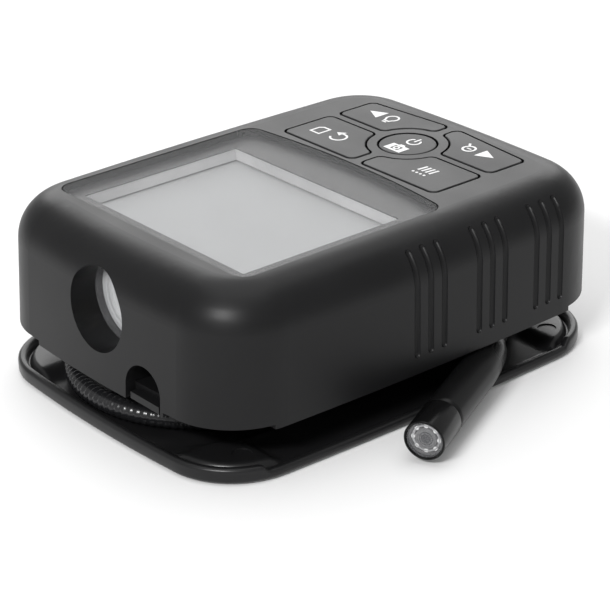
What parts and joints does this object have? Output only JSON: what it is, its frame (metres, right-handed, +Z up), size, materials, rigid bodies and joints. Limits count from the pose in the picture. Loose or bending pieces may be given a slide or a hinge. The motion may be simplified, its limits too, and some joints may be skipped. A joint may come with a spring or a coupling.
{
  "type": "inspection camera",
  "caption": "Hand-held pipe inspection camera: screen and keys on a rounded casing, torch in front, spool tray below with a wound probe cable and camera head.",
  "frame": {"origin": "on the surface it stands on, under the middle of the casing", "axes": "+X across the unit, +Y from the torch end to the key end, +Z up out of the screen"},
  "size_m": [0.093, 0.1009, 0.0371],
  "materials": {
    "case_plastic": "fine matt texture",
    "key_plastic": "satin",
    "tray_plastic": "gloss",
    "hub_plastic": "satin",
    "window_clear": "gloss",
    "mask_ink": "printed black",
    "lcd_grey": "satin polariser",
    "lcd_white": "diffuse white",
    "gasket_grey": "closed foam",
    "steel": "zinc plated",
    "circuit_green": "solder mask",
    "chip_black": "matt",
    "battery_foil": "foil",
    "soft_rubber": "matt",
    "torch_silver": "bright metallised",
    "led_yellow": "phosphor",
    "clear_lens": "clear",
    "led_white": "clear white",
    "cable_black": "ribbed gloss",
    "boot_black": "satin gloss",
    "head_black": "black anodised"
  },
  "bodies": {
    "housing": {"base_tray": "tray_plastic", "battery_pad": "soft_rubber", "cable_gland": "soft_rubber", "case_screws": "steel", "charging_socket": "steel", "circuit_board_screws": "steel", "display_mask": "mask_ink", "display_window": "window_clear", "hub_screws": "steel", "lcd_backlight": "lcd_white", "lcd_frame": "steel", "lcd_gasket": "gasket_grey", "lcd_panel": "lcd_grey", "lithium_battery": "battery_foil", "lower_case": "case_plastic", "main_circuit_board": "circuit_green", "memory_chips": "chip_black", "power_chips": "chip_black", "probe_boot": "boot_black", "probe_cable_coil": "cable_black", "probe_cable_tail": "cable_black", "probe_camera": "chip_black", "probe_head": "head_black", "probe_lens": "clear_lens", "probe_light_board": "circuit_green", "probe_lights": "led_white", "probe_sensor_board": "circuit_green", "processor_chip": "chip_black", "rubber_feet": "soft_rubber", "spool_hub": "hub_plastic", "tactile_switches": "chip_black", "torch_board": "circuit_green", "torch_led": "led_yellow", "torch_lens": "clear_lens", "torch_reflector": "torch_silver", "upper_case": "case_plastic"},
    "return_key": {"button_return": "key_plastic"},
    "menu_key": {"button_menu": "key_plastic"},
    "light_key": {"button_light": "key_plastic"},
    "zoom_key": {"button_zoom": "key_plastic"},
    "capture_key": {"button_capture": "key_plastic"}
  },
  "joints": [
    {"name": "return_press", "type": "slide", "parent": "housing", "child": "return_key", "axis": [0, 0, -1], "range_m": [0, 0.0008], "stiffness_N_per_m": 900},
    {"name": "menu_press", "type": "slide", "parent": "housing", "child": "menu_key", "axis": [0, 0, -1], "range_m": [0, 0.0008], "stiffness_N_per_m": 900},
    {"name": "light_press", "type": "slide", "parent": "housing", "child": "light_key", "axis": [0, 0, -1], "range_m": [0, 0.0008], "stiffness_N_per_m": 900},
    {"name": "zoom_press", "type": "slide", "parent": "housing", "child": "zoom_key", "axis": [0, 0, -1], "range_m": [0, 0.0008], "stiffness_N_per_m": 900},
    {"name": "capture_press", "type": "slide", "parent": "housing", "child": "capture_key", "axis": [0, 0, -1], "range_m": [0, 0.0008], "stiffness_N_per_m": 900}
  ]
}
